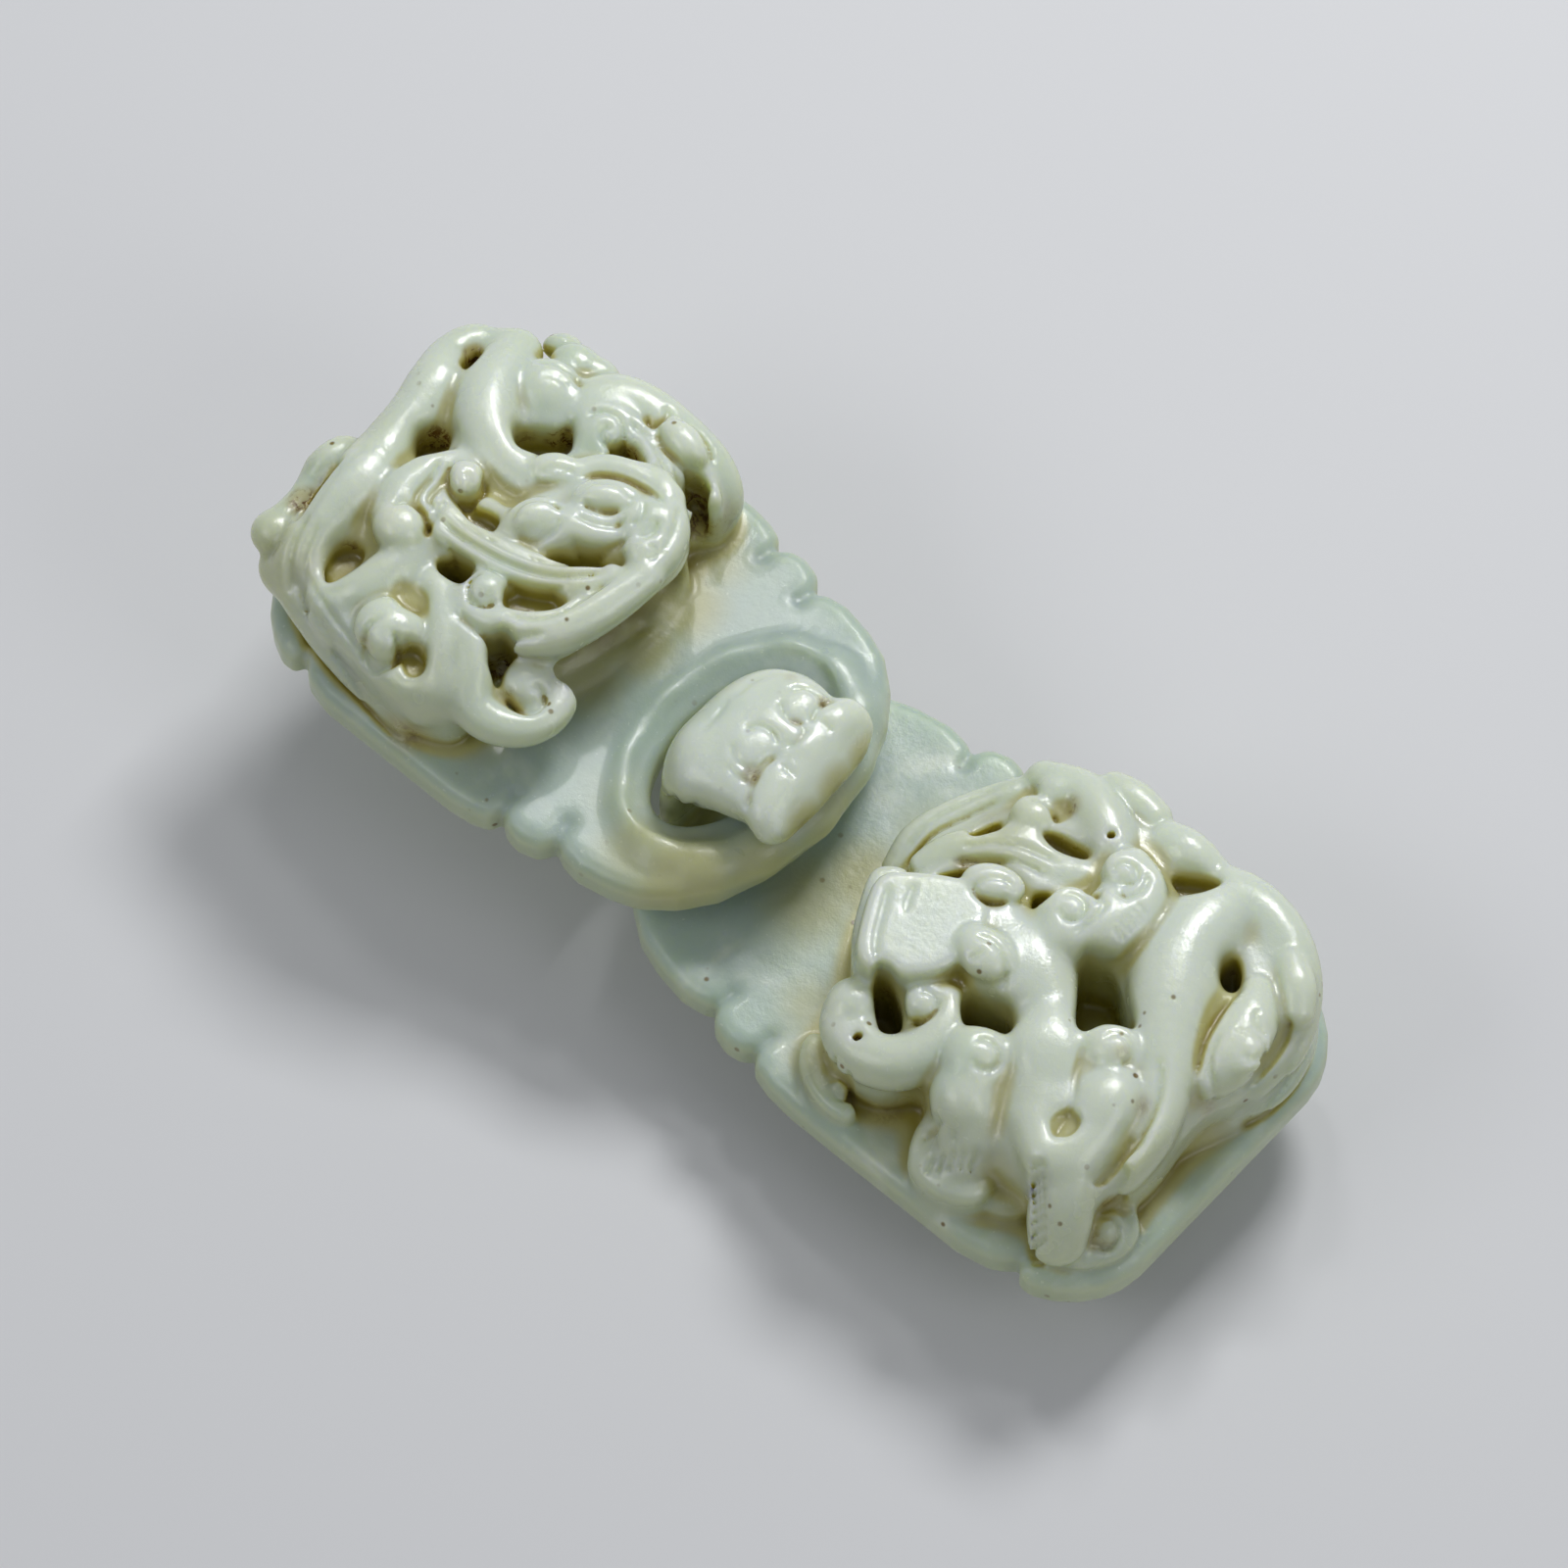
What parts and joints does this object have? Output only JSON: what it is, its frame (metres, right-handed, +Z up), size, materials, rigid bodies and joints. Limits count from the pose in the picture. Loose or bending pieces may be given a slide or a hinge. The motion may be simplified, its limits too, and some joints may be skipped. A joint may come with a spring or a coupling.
{
  "type": "chinese jade belt buckle",
  "caption": "Carved jade belt buckle: a loop plaque hooked over the dragon head of a second plaque, both in openwork relief, each with a round button on the back.",
  "frame": {"origin": "on the table under the middle of the buckle's box, with both buttons standing on z = 0", "axes": "+X along the buckle towards the hook plaque, +Y across it, +Z up out of the carved face"},
  "size_m": [0.1184, 0.0466, 0.0377],
  "materials": {
    "jade_hook_plaque": "polished",
    "jade_loop_plaque": "polished"
  },
  "bodies": {
    "hook_half": {"hook_plaque": "jade_hook_plaque"},
    "loop_half": {"loop_plaque": "jade_loop_plaque"}
  },
  "joints": [
    {"name": "loop_tilt", "type": "hinge", "parent": "hook_half", "child": "loop_half", "pos_m": [0.00166, 0, 0.0195], "axis": [0, 1, 0], "range_deg": [-14, 20]}
  ]
}
